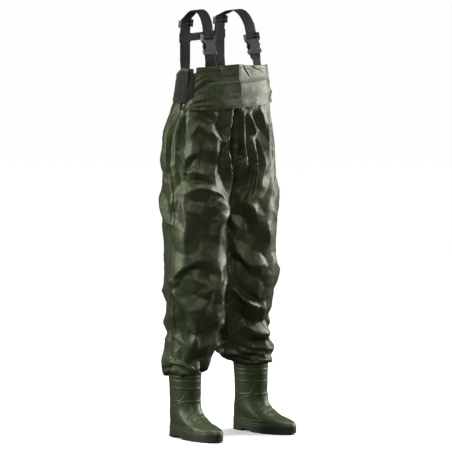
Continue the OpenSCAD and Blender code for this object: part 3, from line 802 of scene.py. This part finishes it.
def bib_point(z, s, inset):
    """A point of the bib, evenly spaced across. s is -1 to 1 between the CAD bib's side edges."""
    z, s = np.broadcast_arrays(np.asarray(z, float), np.asarray(s, float))
    a, b = column(CHEST, 2, z) - inset, column(CHEST, 3, z) - inset
    n = column(CHEST, 5, z)
    edge = math.radians(BIB_ANGLE)
    polar = s * np.arctan2(a * np.sin(edge) ** (2 / n), b * np.cos(edge) ** (2 / n))
    r = ((np.abs(np.sin(polar)) / a) ** n + (np.abs(np.cos(polar)) / b) ** n) ** (-1 / n)
    x, y = r * np.sin(polar), r * np.cos(polar)
    keel = column(CHEST, 6, z) * np.abs(x) * np.minimum(1, 3 * np.clip(y / b, 0, 1) ** (n / 2))
    return cols(x, column(CHEST, 1, z) - y + keel, z)


# The creases of the bib: width, height, and then s and z of its points in turn.
BIB_CREASES = [
    (6, -3.2, 0.16, 1337, 0.24, 1318, 0.33, 1300, 0.38, 1284),
    (7, 2.6, 0.22, 1334, 0.31, 1312, 0.42, 1288),
    (6, -3, 0.42, 1337, 0.52, 1320, 0.66, 1304, 0.76, 1290),
    (7, 2.4, 0.5, 1334, 0.6, 1316, 0.72, 1300),
    (7, 5, -0.99, 1190, -0.86, 1214, -0.7, 1228),
    (6, 5, -0.99, 1192, -0.8, 1200, -0.6, 1204),
    (7, -5, -0.98, 1200, -0.92, 1228, -0.86, 1256),
    (8, 5, -0.97, 1212, -0.9, 1250, -0.8, 1282, -0.66, 1300),
    (8, -4, -0.9, 1240, -0.76, 1268, -0.6, 1282),
    (7, 4, -0.98, 1260, -0.88, 1284, -0.78, 1308),
    (7, 2.4, -0.55, 1330, -0.54, 1312),
    (9, -2.4, -0.8, 1296, -0.5, 1292, -0.2, 1296),
    (7, 5, 0.99, 1190, 0.88, 1216, 0.8, 1240),
    (7, -4, 0.98, 1200, 0.93, 1240, 0.86, 1280),
    (7, 4, 0.97, 1220, 0.9, 1262, 0.84, 1304),
]


def bib_relief(points):
    """How far the bib stands out, in millimetres."""
    s = np.clip(points[:, 0] / 190, -1, 1)
    side = ease((np.abs(s) - 0.72) / 0.25)
    total = 1.6 * noise_at(points * [0.3, 0.3, 1], 26, 5) + 1.3 * ridged(points * [0.7, 1, 1], 48, 6) - 0.8
    total += side * (3.2 * noise_at(points, 22, 7) + 2.2 * ridged(points, 17, 8) - 1.2)
    for line, width, height in lines_of(BIB_CREASES):
        path = smooth_line(line, 30)
        total += crease(points, bib_point(path[:, 1], path[:, 0], 0), width, height, 1.2)
    return total


def front_grid(z, s, inset, extra):
    """Rows of the bib's surface, pushed out by its relief and the extra."""
    p = bib_point(z, s, inset)
    flat = p.reshape(-1, 3)
    out = np.column_stack([flat[:, 0] * 0.35, -np.abs(flat[:, 1]) - 40, 0 * flat[:, 0]])
    out /= np.linalg.norm(out, axis=1)[:, None]
    push = bib_relief(bib_point(z, s, 0).reshape(-1, 3)) + np.broadcast_to(extra, p.shape[:2]).ravel()
    return (flat + out * push[:, None]).reshape(p.shape)


def capsules(name, path, out, length=2.9, gap=1.3, radius=0.4):
    """A row of six-sided stitches along a path on a surface that faces out, in millimetres."""
    path, out = np.asarray(path, float), np.asarray(out, float)
    along = distances(path)
    points, faces = [], []
    for start in np.arange(0, along[-1] - length, length + gap):
        ends = [np.array([np.interp(start + d, along, path[:, k]) for k in range(3)]) for d in (0, length)]
        up = np.array([np.interp(start, along, out[:, k]) for k in range(3)])
        up /= np.linalg.norm(up)
        axis = (ends[1] - ends[0]) / length
        side = np.cross(axis, up)
        base = len(points)
        for t, r in ((0, 0.25), (0.2, 1), (0.8, 1), (1, 0.25)):
            mid = ends[0] + axis * length * t + up * radius * (0.5 if 0 < t < 1 else -0.2)
            points += [mid + radius * r * (math.cos(q) * side + math.sin(q) * up) for q in full_turn(6)]
        for ring in (base, base + 6, base + 12):
            faces += [[ring + i, ring + (i + 1) % 6, ring + 6 + (i + 1) % 6, ring + 6 + i] for i in range(6)]
        faces += [[base + i for i in range(6)][::-1], [base + 18 + i for i in range(6)]]
    return make_mesh(name, points, faces)


def joined(name, objs):
    """Several meshes as one piece."""
    bm = bmesh.new()
    for o in objs:
        bm.from_mesh(o.data)
    mesh = bpy.data.meshes.new(name)
    bm.to_mesh(mesh)
    bm.free()
    mesh.shade_smooth()
    for o in objs:
        bpy.data.objects.remove(o)
    return linked(name, mesh)


def stitched(name, lines, lift):
    """Stitches along lines of the bib's front, each a pair of z and s lists."""
    rows = []
    for z, s in lines:
        z, s = np.broadcast_arrays(np.asarray(z, float), np.asarray(s, float))
        p = front_grid(z[None], s[None], 0, lift)[0]
        rows.append(capsules(name, p, np.tile([0.0, -1, 0], (len(p), 1))))
    return dress(joined(name, rows), THREAD, "waders", "cloth")


BIB_TOP, BIB_BOTTOM, CORNER_DROPS = 1336, 1182, (2, 22)


def bib_top(s):
    """The bib's upper edge, lower at its corners."""
    return BIB_TOP - np.where(s > 0, CORNER_DROPS[1] * s, -CORNER_DROPS[0] * s)


rows = np.linspace(0, 1, 58)[:, None]
across = np.linspace(-1, 1, 145)[None]
bib_z = BIB_BOTTOM + (bib_top(across) - BIB_BOTTOM) * rows
pinch = np.where(across < 0, 1 - 0.125 * ease((bib_z - 1196) / 42), 1 - 0.03 * bump(bib_z, 1240, 30))
hem_step = 0.9 * ease((bib_z - (bib_top(across) - 15)) / 2) + 2.5 * ease((1202 - bib_z) / 18)
bib = solid(grid_mesh("front_bib_cloth", front_grid(bib_z, across * pinch, 1.2, hem_step)), 1.1, 1)
dress(bib, NYLON, "waders", "cloth", "front_bib")

POCKET_W, POCKET_TOP, POCKET_BOTTOM, POCKET_ROUND = 146, 1277, 1181, 14
POCKET_LIFT = 2.6
POCKET_SEAMS = (1199.5, 1266.0)


def pocket_s(z, x):
    """The s that puts a bib point at x."""
    s = np.linspace(0, 1, 200)
    z, x = np.broadcast_arrays(z, x)
    found = [np.interp(abs(q), bib_point(h, s, 0)[:, 0], s) for h, q in zip(z.ravel(), x.ravel())]
    return np.sign(x) * np.array(found).reshape(z.shape)


rows = np.linspace(0, 1, 44)[:, None]
across = np.linspace(-1, 1, 101)[None]
z = POCKET_BOTTOM + (POCKET_TOP - POCKET_BOTTOM) * rows + 0 * across
over = np.clip(z - (POCKET_TOP - POCKET_ROUND), 0, POCKET_ROUND)
half = POCKET_W - (POCKET_ROUND - np.sqrt(POCKET_ROUND**2 - over**2))
puff = 3.2 * ease((1215 - z) / 30) * (1 - np.abs(across) ** 3) + 1.2 * bump(z, 1245, 22) * (1 - across**2)
hemmed = 0.8 * ease((1199 - z) / 1.5)
pocket = front_grid(z, pocket_s(z, across * half), 0, POCKET_LIFT + puff + hemmed)
pocket = grid_mesh("chest_pocket_cloth", pocket)
dress(solid(pocket, 1.1, 1), NYLON, "waders", "cloth", "chest_pocket")

z = np.linspace(POCKET_TOP - 10, POCKET_TOP + 0.6, 8)[:, None] + 0 * across
round_hem = 0.8 * (1 - ((z - POCKET_TOP + 4.7) / 5.4) ** 2)
hem = front_grid(z, pocket_s(z, across * (POCKET_W - 4)), 0, POCKET_LIFT + 0.8 + round_hem)
hem = grid_mesh("pocket_hem_cloth", hem)
dress(solid(hem, 0.8, 1), HEM, "waders", "cloth", "pocket_hem")

across = np.linspace(-0.82, 0.94, 60)
down = np.linspace(POCKET_BOTTOM + 4, POCKET_TOP - 22, 20)
edge = pocket_s(down, np.full(20, POCKET_W - 4.0))
wide = pocket_s(np.full(50, 1240.0), np.linspace(4 - POCKET_W, POCKET_W - 4, 50))
stitched("bib_stitches", [(bib_top(across) - 12, across)], 1.3)
level = [(np.full(50, z), wide) for z in POCKET_SEAMS]
stitched("pocket_stitches", [(down, edge), (down, -edge), *level], POCKET_LIFT + 1.6)


# ---------------- elastic back and its binding
def back_relief(points, z):
    """Gathers, ribs and stitched channels of the elastic back, in millimetres."""
    run = np.abs(points[..., 0]) + 0.6 * points[..., 1]
    fine = 0.35 * np.sin(2 * np.pi * run / 3.6)
    channel = np.abs((run + 26) % 52 - 26)
    slope = np.abs((run + 0.45 * (z - 1240) + 13) % 26 - 13)
    gather = 1.3 * noise_at(points.reshape(-1, 3) * [1, 1, 0.25], 11, 21).reshape(z.shape)
    return fine + gather - 1.1 * np.exp(-(channel / 1.6) ** 2) + 1.0 * np.exp(-(slope / 1.5) ** 2)


BACK_TURN = (64, 306)


def chest_out(z, angle):
    """The level direction away from the chest's middle."""
    away = (chest_point(z, angle, 0) - [0, 25, 0]) * [1, 1.6, 0]
    return away / np.linalg.norm(away, axis=-1, keepdims=True)


def back_top(turn):
    """The top of the back, which climbs to the bib's corners."""
    return 1283 + 40 * np.clip((turn - 224) / 44, 0, 1) ** 1.5 + 20 * np.clip((132 - turn) / 40, 0, 1) ** 1.5


turn = np.linspace(*BACK_TURN, 560)[None]
level = 1204 + (back_top(turn) - 4 - 1204) * np.linspace(0, 1, 36)[:, None]
base = chest_point(level, turn + 0 * level, BACK_INSET + 0.6)
knit = base + chest_out(level, turn + 0 * level) * back_relief(base, level)[..., None]
knit = solid(grid_mesh("back_elastic_cloth", knit), 1.6)
dress(knit, KNIT, "waders", "elastic_knit", "back_elastic")


def rounded(n, w, h, power, power_up=None):
    """A section of n points, from round at power 1 to square at power 0."""
    turn = full_turn(n)
    return cols(w * signed_power(np.cos(turn), power), h * signed_power(np.sin(turn), power_up or power))


def swept(name, path, right, up, section):
    """A closed strip along a path. Its section is rows of (right, up). Right, up and the section are either
    the same all along, or one for each point of the path."""
    section = np.broadcast_to(section, (len(path),) + np.shape(section)[-2:])
    right, up = (np.broadcast_to(v, np.shape(path))[:, None] for v in (right, up))
    obj = grid_mesh(name, path[:, None] + section[..., :1] * right + section[..., 1:] * up, wrap=True)
    bm = bmesh.new()
    bm.from_mesh(obj.data)
    bmesh.ops.holes_fill(bm, edges=[e for e in bm.edges if e.is_boundary])
    bmesh.ops.recalc_face_normals(bm, faces=bm.faces)
    bm.to_mesh(obj.data)
    bm.free()
    obj.data.shade_smooth()
    return obj


turn = np.linspace(*BACK_TURN, 440)
mid = chest_point(back_top(turn), turn, BACK_INSET + 1.7)
out = chest_out(back_top(turn), turn)
gather = 1 + 0.1 * noise_at(mid, 7, 22)[:, None] + 0.05 * np.sin(np.arange(len(turn)))[:, None]
oval = rounded(16, 1.7, 5.8 * 0.97, 0.6) * cols(gather, gather**0)
binding = swept("back_binding_cloth", mid, out, [0.0, 0, 1], oval)
dress(binding, HEM, "waders", "cloth", "back_binding")


# ---------------- straps
WEB_W, WEB_T = 48, 2.0
FRONT_X, BUCKLE_Y, MOUTH_Z, STAGGER = 105, -26, 1382, 14
BUCKLE_LEAN, NECK_LEAN = math.radians(12), math.radians(4)
BACK_X, BACK_Y = 81, 134
ADJUSTER = np.array([81, 129.5, 1469])
ADJUSTER_LEAN = math.radians(-8)
ARCH = [[95.5, 7, 1494], [93, 24, 1510], [91, 44, 1518], [89, 66, 1517.5], [86.5, 88, 1509],
        [83.5, 109, 1496]]
TAB_X, TAB_Y, TAB_YAW, TAB_W = FRONT_X + 3, -46.6, 13, WEB_W - 2.4
# The directions up and across the webbing at the buckle
WEB_UP = np.array([-math.cos(BUCKLE_LEAN) * math.sin(NECK_LEAN), math.sin(BUCKLE_LEAN),
                   math.cos(BUCKLE_LEAN) * math.cos(NECK_LEAN)])
WEB_ACROSS = np.array([math.cos(NECK_LEAN), 0, math.sin(NECK_LEAN)])


def on_web(side, d):
    """A point of the front webbing, d above the buckle's mouth, for a strap drawn on the left."""
    return np.array([FRONT_X, BUCKLE_Y, MOUTH_Z - side * STAGGER / 2]) + d * WEB_UP


def by_adjuster(d):
    return [*(ADJUSTER + d * np.array([0, math.sin(ADJUSTER_LEAN), math.cos(ADJUSTER_LEAN)])), 0]


def densely(route, step=2.5, curved=()):
    """Points every few millimetres along a route of [x, y, z, yaw], which is smooth in the stretch curved."""
    route = np.asarray(route, float)
    if len(curved):
        a, b = curved
        route = np.vstack([route[:a], smooth_line(route[a:b], 60), route[b:]])
    along = distances(route[:, :3])
    at = np.linspace(0, along[-1], max(int(along[-1] / step), 3))
    return np.stack([np.interp(at, along, route[:, k]) for k in range(4)], axis=-1)


def web_edge(u, at, width):
    """The thickness of webbing across its width, with thick edges that round off."""
    edge = 0.82 + 0.18 * bump(np.abs(u), at, width)
    edge[[0, -1]] = 0.45
    return edge


def webbing(name, side, route, width, seed, thick=WEB_T):
    """A length of webbing with thicker edges, drawn on the left and mirrored for the right."""
    p, yaw = route[:, :3], np.radians(route[:, 3])
    across = cols(np.cos(yaw), np.sin(yaw), 0 * yaw)
    heading = np.pad(np.gradient(p, axis=0) * [0, 1, 1], ((2, 2), (0, 0)), mode="edge")
    heading = np.stack([np.convolve(heading[:, k], np.ones(5) / 5, "valid") for k in range(3)], axis=-1)
    up = np.cross(across, heading)
    up /= np.linalg.norm(up, axis=1)[:, None]
    u = np.linspace(-1, 1, 15)
    edge = thick / 2 * web_edge(u, 0.94, 0.06)
    wavy = 0.25 * noise_at(p, 30, seed)[:, None] * (1 - u**2)
    half = (width / 2 - 0.25 + 0.25 * noise_at(p, 12, seed + 1))[:, None]
    faces = [cols(half * u * way, wavy + way * edge) for way in (1, -1)]
    return mirrored(swept(name, p, across, up, np.concatenate(faces, axis=1)), side)


def strap(name, node_name, side, mat, route, seed, width=WEB_W, thick=WEB_T):
    """One of the braces' straps as a finished piece."""
    web = dress(webbing(name, side, route, width, seed, thick), mat, "waders", "webbing", node_name)


def box_stitch(name, corner, across, up, out):
    """A box with a cross in it, sewn in thread on a flat place. across and up are its sides."""
    a, b, c, d = corner, corner + across, corner + across + up, corner + up
    lines = [[a, b], [b, c], [c, d], [d, a], [a, c], [b, d]]
    rows = [capsules(name, line, [out, out], length=2.6, gap=1.2, radius=0.38) for line in lines]
    return joined(name, rows)


for side, word in SIDES:
    drop = [side * STAGGER / 2 * min(1, max(0, (ADJUSTER[1] - y) / 60)) for _, y, _ in ARCH]
    arch = [[x, y, z - d, 0] for (x, y, z), d in zip(ARCH, drop)]
    front = [[*on_web(side, d), 0] for d in (36, 90)]
    route = densely([*front, *arch, by_adjuster(17), by_adjuster(-8)], curved=(1, 9))
    strap(f"{word}_brace_webbing", f"{word}_brace", side, DARK_WEB, route, 31 + side)
    route = densely([[BACK_X, 137, 1236, -11], [BACK_X, 132.6, 1290, -11], [BACK_X, BACK_Y, 1335, 0],
                     [BACK_X, BACK_Y, 1440, 0], by_adjuster(-8.3)])
    strap(f"{word}_back_webbing", f"{word}_back_strap", side, WEB, route, 41 + side)

    # The tab goes up from the bib, over the plug's bar and down behind itself
    bar, behind = on_web(side, -10.9), np.cross([1, 0, 0], WEB_UP)
    behind *= np.sign(behind[1]) / np.linalg.norm(behind)
    over_bar = [bar + 3.1 * (math.sin(q) * WEB_UP - math.cos(q) * behind) for q in np.linspace(0, math.pi, 9)]
    looped = [on_web(side, -22) - 1.5 * behind, *over_bar, on_web(side, -22) + 1.3 * behind]
    route = densely([[TAB_X, TAB_Y, 1284, TAB_YAW], [TAB_X, -36, 1338, TAB_YAW], *[[*p, 0] for p in looped],
                     [*(on_web(side, -31) + 1.2 * behind), 4]], 1.6)
    strap(f"{word}_tab_webbing", f"{word}_front_tab", side, DARK_WEB, route, 51 + side, TAB_W, 1.9)

    # The plug's thick front lip, which covers its bar
    lip_x = np.concatenate([[-28.2], np.linspace(-27.4, 27.4, 30), [28.2]])
    size = np.where(np.abs(lip_x) > 28, 0.8, 1 + 0.04 * (lip_x / 28) ** 2)[:, None, None]
    inward = np.cross(WEB_UP, WEB_ACROSS)
    path = on_web(side, -7.8) - 5.3 * inward + lip_x[:, None] * WEB_ACROSS
    lip = swept(f"{word}_plug_lip", path, WEB_UP, inward, rounded(24, 6.1, 1.1, 0.45, 0.7) * size)
    dress(mirrored(lip, side), PLASTIC, "waders", "buckle_plastic")

    wide = np.array([math.cos(math.radians(TAB_YAW)), math.sin(math.radians(TAB_YAW)), 0])
    tall = np.array([0, 10.6, 54]) / 55.03
    out = np.cross(wide, tall) / np.linalg.norm(np.cross(wide, tall))
    out *= -np.sign(out[1])
    corner = np.array([TAB_X, TAB_Y + 0.8, 1288]) - wide * 19 + out * 1.25
    box = box_stitch(f"{word}_tab_stitches", corner, wide * 38, tall * 42, out)
    dress(mirrored(box, side), THREAD, "waders", "webbing")

# Cross strap and its two keepers
KEEPER_W, KEEPER_D, KEEPER_H, KEEPER_Z, KEEPER_T = 52.2, 6.2, 32, 1418, 1.6
for side, word in SIDES:
    grid = []
    for t in np.linspace(-1, 1, 13):
        pinch = 0.05 + 0.25 * abs(t) ** 6
        ring = rounded(64, KEEPER_W / 2 - pinch, KEEPER_D / 2 - pinch, 0.12, 0.3)
        height = np.full((64, 1), KEEPER_Z + t * (KEEPER_H / 2 - 0.1))
        grid.append(np.hstack([ring + [side * BACK_X, BACK_Y], height]))
    keeper = solid(grid_mesh(f"{word}_keeper_webbing", np.array(grid), wrap=True), KEEPER_T - 0.1)
    dress(keeper, WEB, "cross_strap_slide", "webbing", f"{word}_keeper")
path = np.linspace([-54.7, BACK_Y, KEEPER_Z], [54.7, BACK_Y, KEEPER_Z], 60)
u = np.linspace(-1, 1, 13)
section = np.concatenate([way * cols(13.9 * u, 0.95 * web_edge(u, 0.92, 0.08)) for way in (1, -1)])
cross_strap = swept("cross_strap_webbing", path, [0.0, 0, 1], [0.0, -1, 0], section)
dress(cross_strap, WEB, "cross_strap_slide", "webbing", "cross_strap")


# ---------------- boots
def soft_boot_point(z, turn):
    """The boot's outside with its table corners rounded."""
    near = [boot_point(np.maximum(z + d, SOLE_TOP), turn) * [1, 1, 0] for d in (-5, -3, -1, 1, 3, 5)]
    return np.mean(near, axis=0) + z[..., None] * [0, 0, 1]


def boot_relief(p, z, turn):
    """Moulded bands, panels, ridges and dots of the boot, in millimetres."""
    x, y = np.abs(p[..., 0]), p[..., 1]
    bands = ((1.3, 237, 2.6), (1.1, 222, 1.8), (1.1, 206, 1.8), (1.3, 181, 1.6), (1.4, 30.5, 1.7),
             (-0.8, 27, 1))
    total = sum(height * bump(z, at, width) for height, at, width in bands)
    panel = z - (134 + 42 * (np.arccos(np.abs(np.sin(turn))) / math.radians(52)) ** 4)
    total += 1.0 * bump(panel, 0, 2) * (z < 180) - 0.9 * ease(panel / 3) * ease((180 - z) / 2)
    ankle = 136 - 40 * ease((y + 62) / 125)
    total += 1.1 * bump(z, ankle, 2.2) + 0.8 * ease((ankle - z) / 2.5)
    total += 1.1 * ease((10 - x) / 1.4) * (y > 20) * ease((z - 60) / 4)
    a, b = (p[..., 0] + z) / 8, (p[..., 0] - z) / 8
    dots = ease((0.3 - np.maximum(np.abs(a - np.round(a)), np.abs(b - np.round(b)))) / 0.12)
    total += 0.8 * dots * ease((y - 30) / 4) * ease((z - 58) / 2) * ease((94 - z) / 2)
    guard = 44 + 12 * ease((-95 - y) / 40) + 30 * ease((-168 - y) / 12)
    total += 1.1 * ease((guard - z) / 1.4) + 0.7 * bump(z, guard, 1.4)
    flex = bump(y, -92, 26) * ease((z - 60) / 10)
    total += 0.9 * flex * np.sin((y + 0.25 * z) / 4.2)
    return total + 0.5 * noise_at(p.reshape(-1, 3), 34, 61).reshape(z.shape)


BOOT_WALL = 3.6
levels = np.concatenate([np.linspace(SOLE_TOP + 0.2, 62, 74), np.linspace(62, BOOT_TOP - 0.4, 130)[1:]])
z, turn = np.meshgrid(levels, full_turn(256), indexing="ij")
shell = soft_boot_point(z, turn)
step_out = np.cross(np.gradient(shell, axis=1), np.gradient(shell, axis=0))
step_out /= np.linalg.norm(step_out, axis=-1, keepdims=True)
step_out *= np.sign((step_out * (shell - [0, -30, 60]) * [1, 1, 0.3]).sum(-1, keepdims=True))
shell += step_out * boot_relief(shell, z, turn)[..., None]
shell[..., 2] = np.clip(shell[..., 2], SOLE_TOP + 0.2, BOOT_TOP)
for side, word in SIDES:
    upper = grid_mesh(f"{word}_boot_rubber", place_boot(shell, side), wrap=True, flip=side < 0)
    dress(solid(upper, BOOT_WALL), RUBBER, "waders", "boot_rubber", f"{word}_boot_upper")


# ---------------- CAD nodes that stay
BUCKLE = ("plug_base", "plug_outer_arm", "plug_inner_arm", "buckle_socket", "adjuster")
KEPT = [(SOLE, 1.0, ("boot_outsole",)), (TAPE, 0.4, ("weld_band",)), (FOAM, 1.0, ("boot_insole",)),
        (PLASTIC, 0.7, BUCKLE), (PLASTIC, 0.6, ("lock_barrel", "lock_plunger"))]
kept = [(f"{word}_{name}", mat, width) for mat, width, names in KEPT for name in names for _, word in SIDES]
for name, mat, width in [*kept, ("waist_cord", CORD, 0)]:
    obj = bpy.data.objects[name]
    if not obj.material_slots:
        obj.data.materials.append(mat)
    for place in obj.material_slots:
        place.material = mat
    if width:
        edge = obj.modifiers.new("edges", "BEVEL")
        edge.width, edge.segments = width * MM, 2
        edge.limit_method, edge.angle_limit = "ANGLE", math.radians(38)

# The lock springs: coils drawn at one length; on the real lock they shorten as the button goes down
LOCK = np.array([207, 15, 1193])
SPRING_LOW, SPRING_HIGH, SPRING_R, WIRE_R = -8.9, -3.2, 2.8, 0.42
for side, word in SIDES:
    a = np.linspace(0, 8 * np.pi, 150)
    ring = cols(np.cos(a), np.sin(a), 0 * a)
    rise = SPRING_LOW + (SPRING_HIGH - SPRING_LOW) * a / a[-1]
    coil = LOCK * [side, 1, 1] + SPRING_R * ring + rise[:, None] * [0, 0, 1]
    spring = swept(f"{word}_spring_coil", coil, ring, [0.0, 0, 1], rounded(10, WIRE_R, WIRE_R, 1))
    dress(spring, STEEL, "waders", "spring_steel", f"{word}_lock_spring")
    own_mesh(spring)


# ---------------- camera, lights and floor
AIM = Vector((-0.003, 0.002, 0.749))
AZIMUTH, ELEVATION = math.radians(-41), math.radians(7.5)
VIEW_HEIGHT = 1.607
level = Vector((math.sin(AZIMUTH), -math.cos(AZIMUTH), 0))
back = math.cos(ELEVATION) * level + math.sin(ELEVATION) * Vector((0, 0, 1))
camera = linked("camera", bpy.data.cameras.new("camera"))
camera.data.type = "ORTHO"
camera.data.ortho_scale = VIEW_HEIGHT
camera.location = AIM + 8 * back
camera.rotation_euler = (-back).to_track_quat("-Z", "Y").to_euler()
bpy.context.scene.camera = camera


def area_light(name, direction, distance, height, size, power):
    light = linked(name, bpy.data.lights.new(name, "AREA"))
    light.data.shape = "RECTANGLE"
    light.data.size, light.data.size_y = size
    light.data.energy = power
    light.location = Vector((direction[0], direction[1], 0)).normalized() * distance + Vector((0, 0, height))
    light.rotation_euler = (Vector((0, 0, 0.8)) - light.location).to_track_quat("-Z", "Y").to_euler()


area_light("key", (0.966, -0.259), 2.6, 1.5, (0.9, 2.2), 125)
area_light("rim", (-0.85, 0.5), 2.6, 1.5, (0.6, 2.2), 85)
area_light("fill", (-0.6, -0.85), 3.6, 2.7, (1.3, 1.1), 58)
sun = linked("overhead", bpy.data.lights.new("overhead", "SUN"))
sun.data.angle, sun.data.energy = 0.5, 3.25

world = bpy.data.worlds.new("studio")
bpy.context.scene.world = world
world.use_nodes = True
world.node_tree.nodes["Background"].inputs[0].default_value = (1, 1, 1, 1)
world.node_tree.nodes["Background"].inputs[1].default_value = 0.09
bpy.context.scene.view_settings.view_transform = "Standard"

FAR = 30000
floor = make_mesh("floor", [[-FAR, -FAR, 0], [FAR, -FAR, 0], [FAR, FAR, 0], [-FAR, FAR, 0]], [[0, 1, 2, 3]])
paint = bpy.data.materials.new("floor")
paint.use_nodes = True
for socket, value in (("Base Color", (0.9, 0.9, 0.9, 1)), ("Roughness", 0.9)):
    paint.node_tree.nodes["Principled BSDF"].inputs[socket].default_value = value
floor.data.materials.append(paint)
floor.visible_diffuse = floor.visible_glossy = False  # dark cloth would look washed out by a floor this white
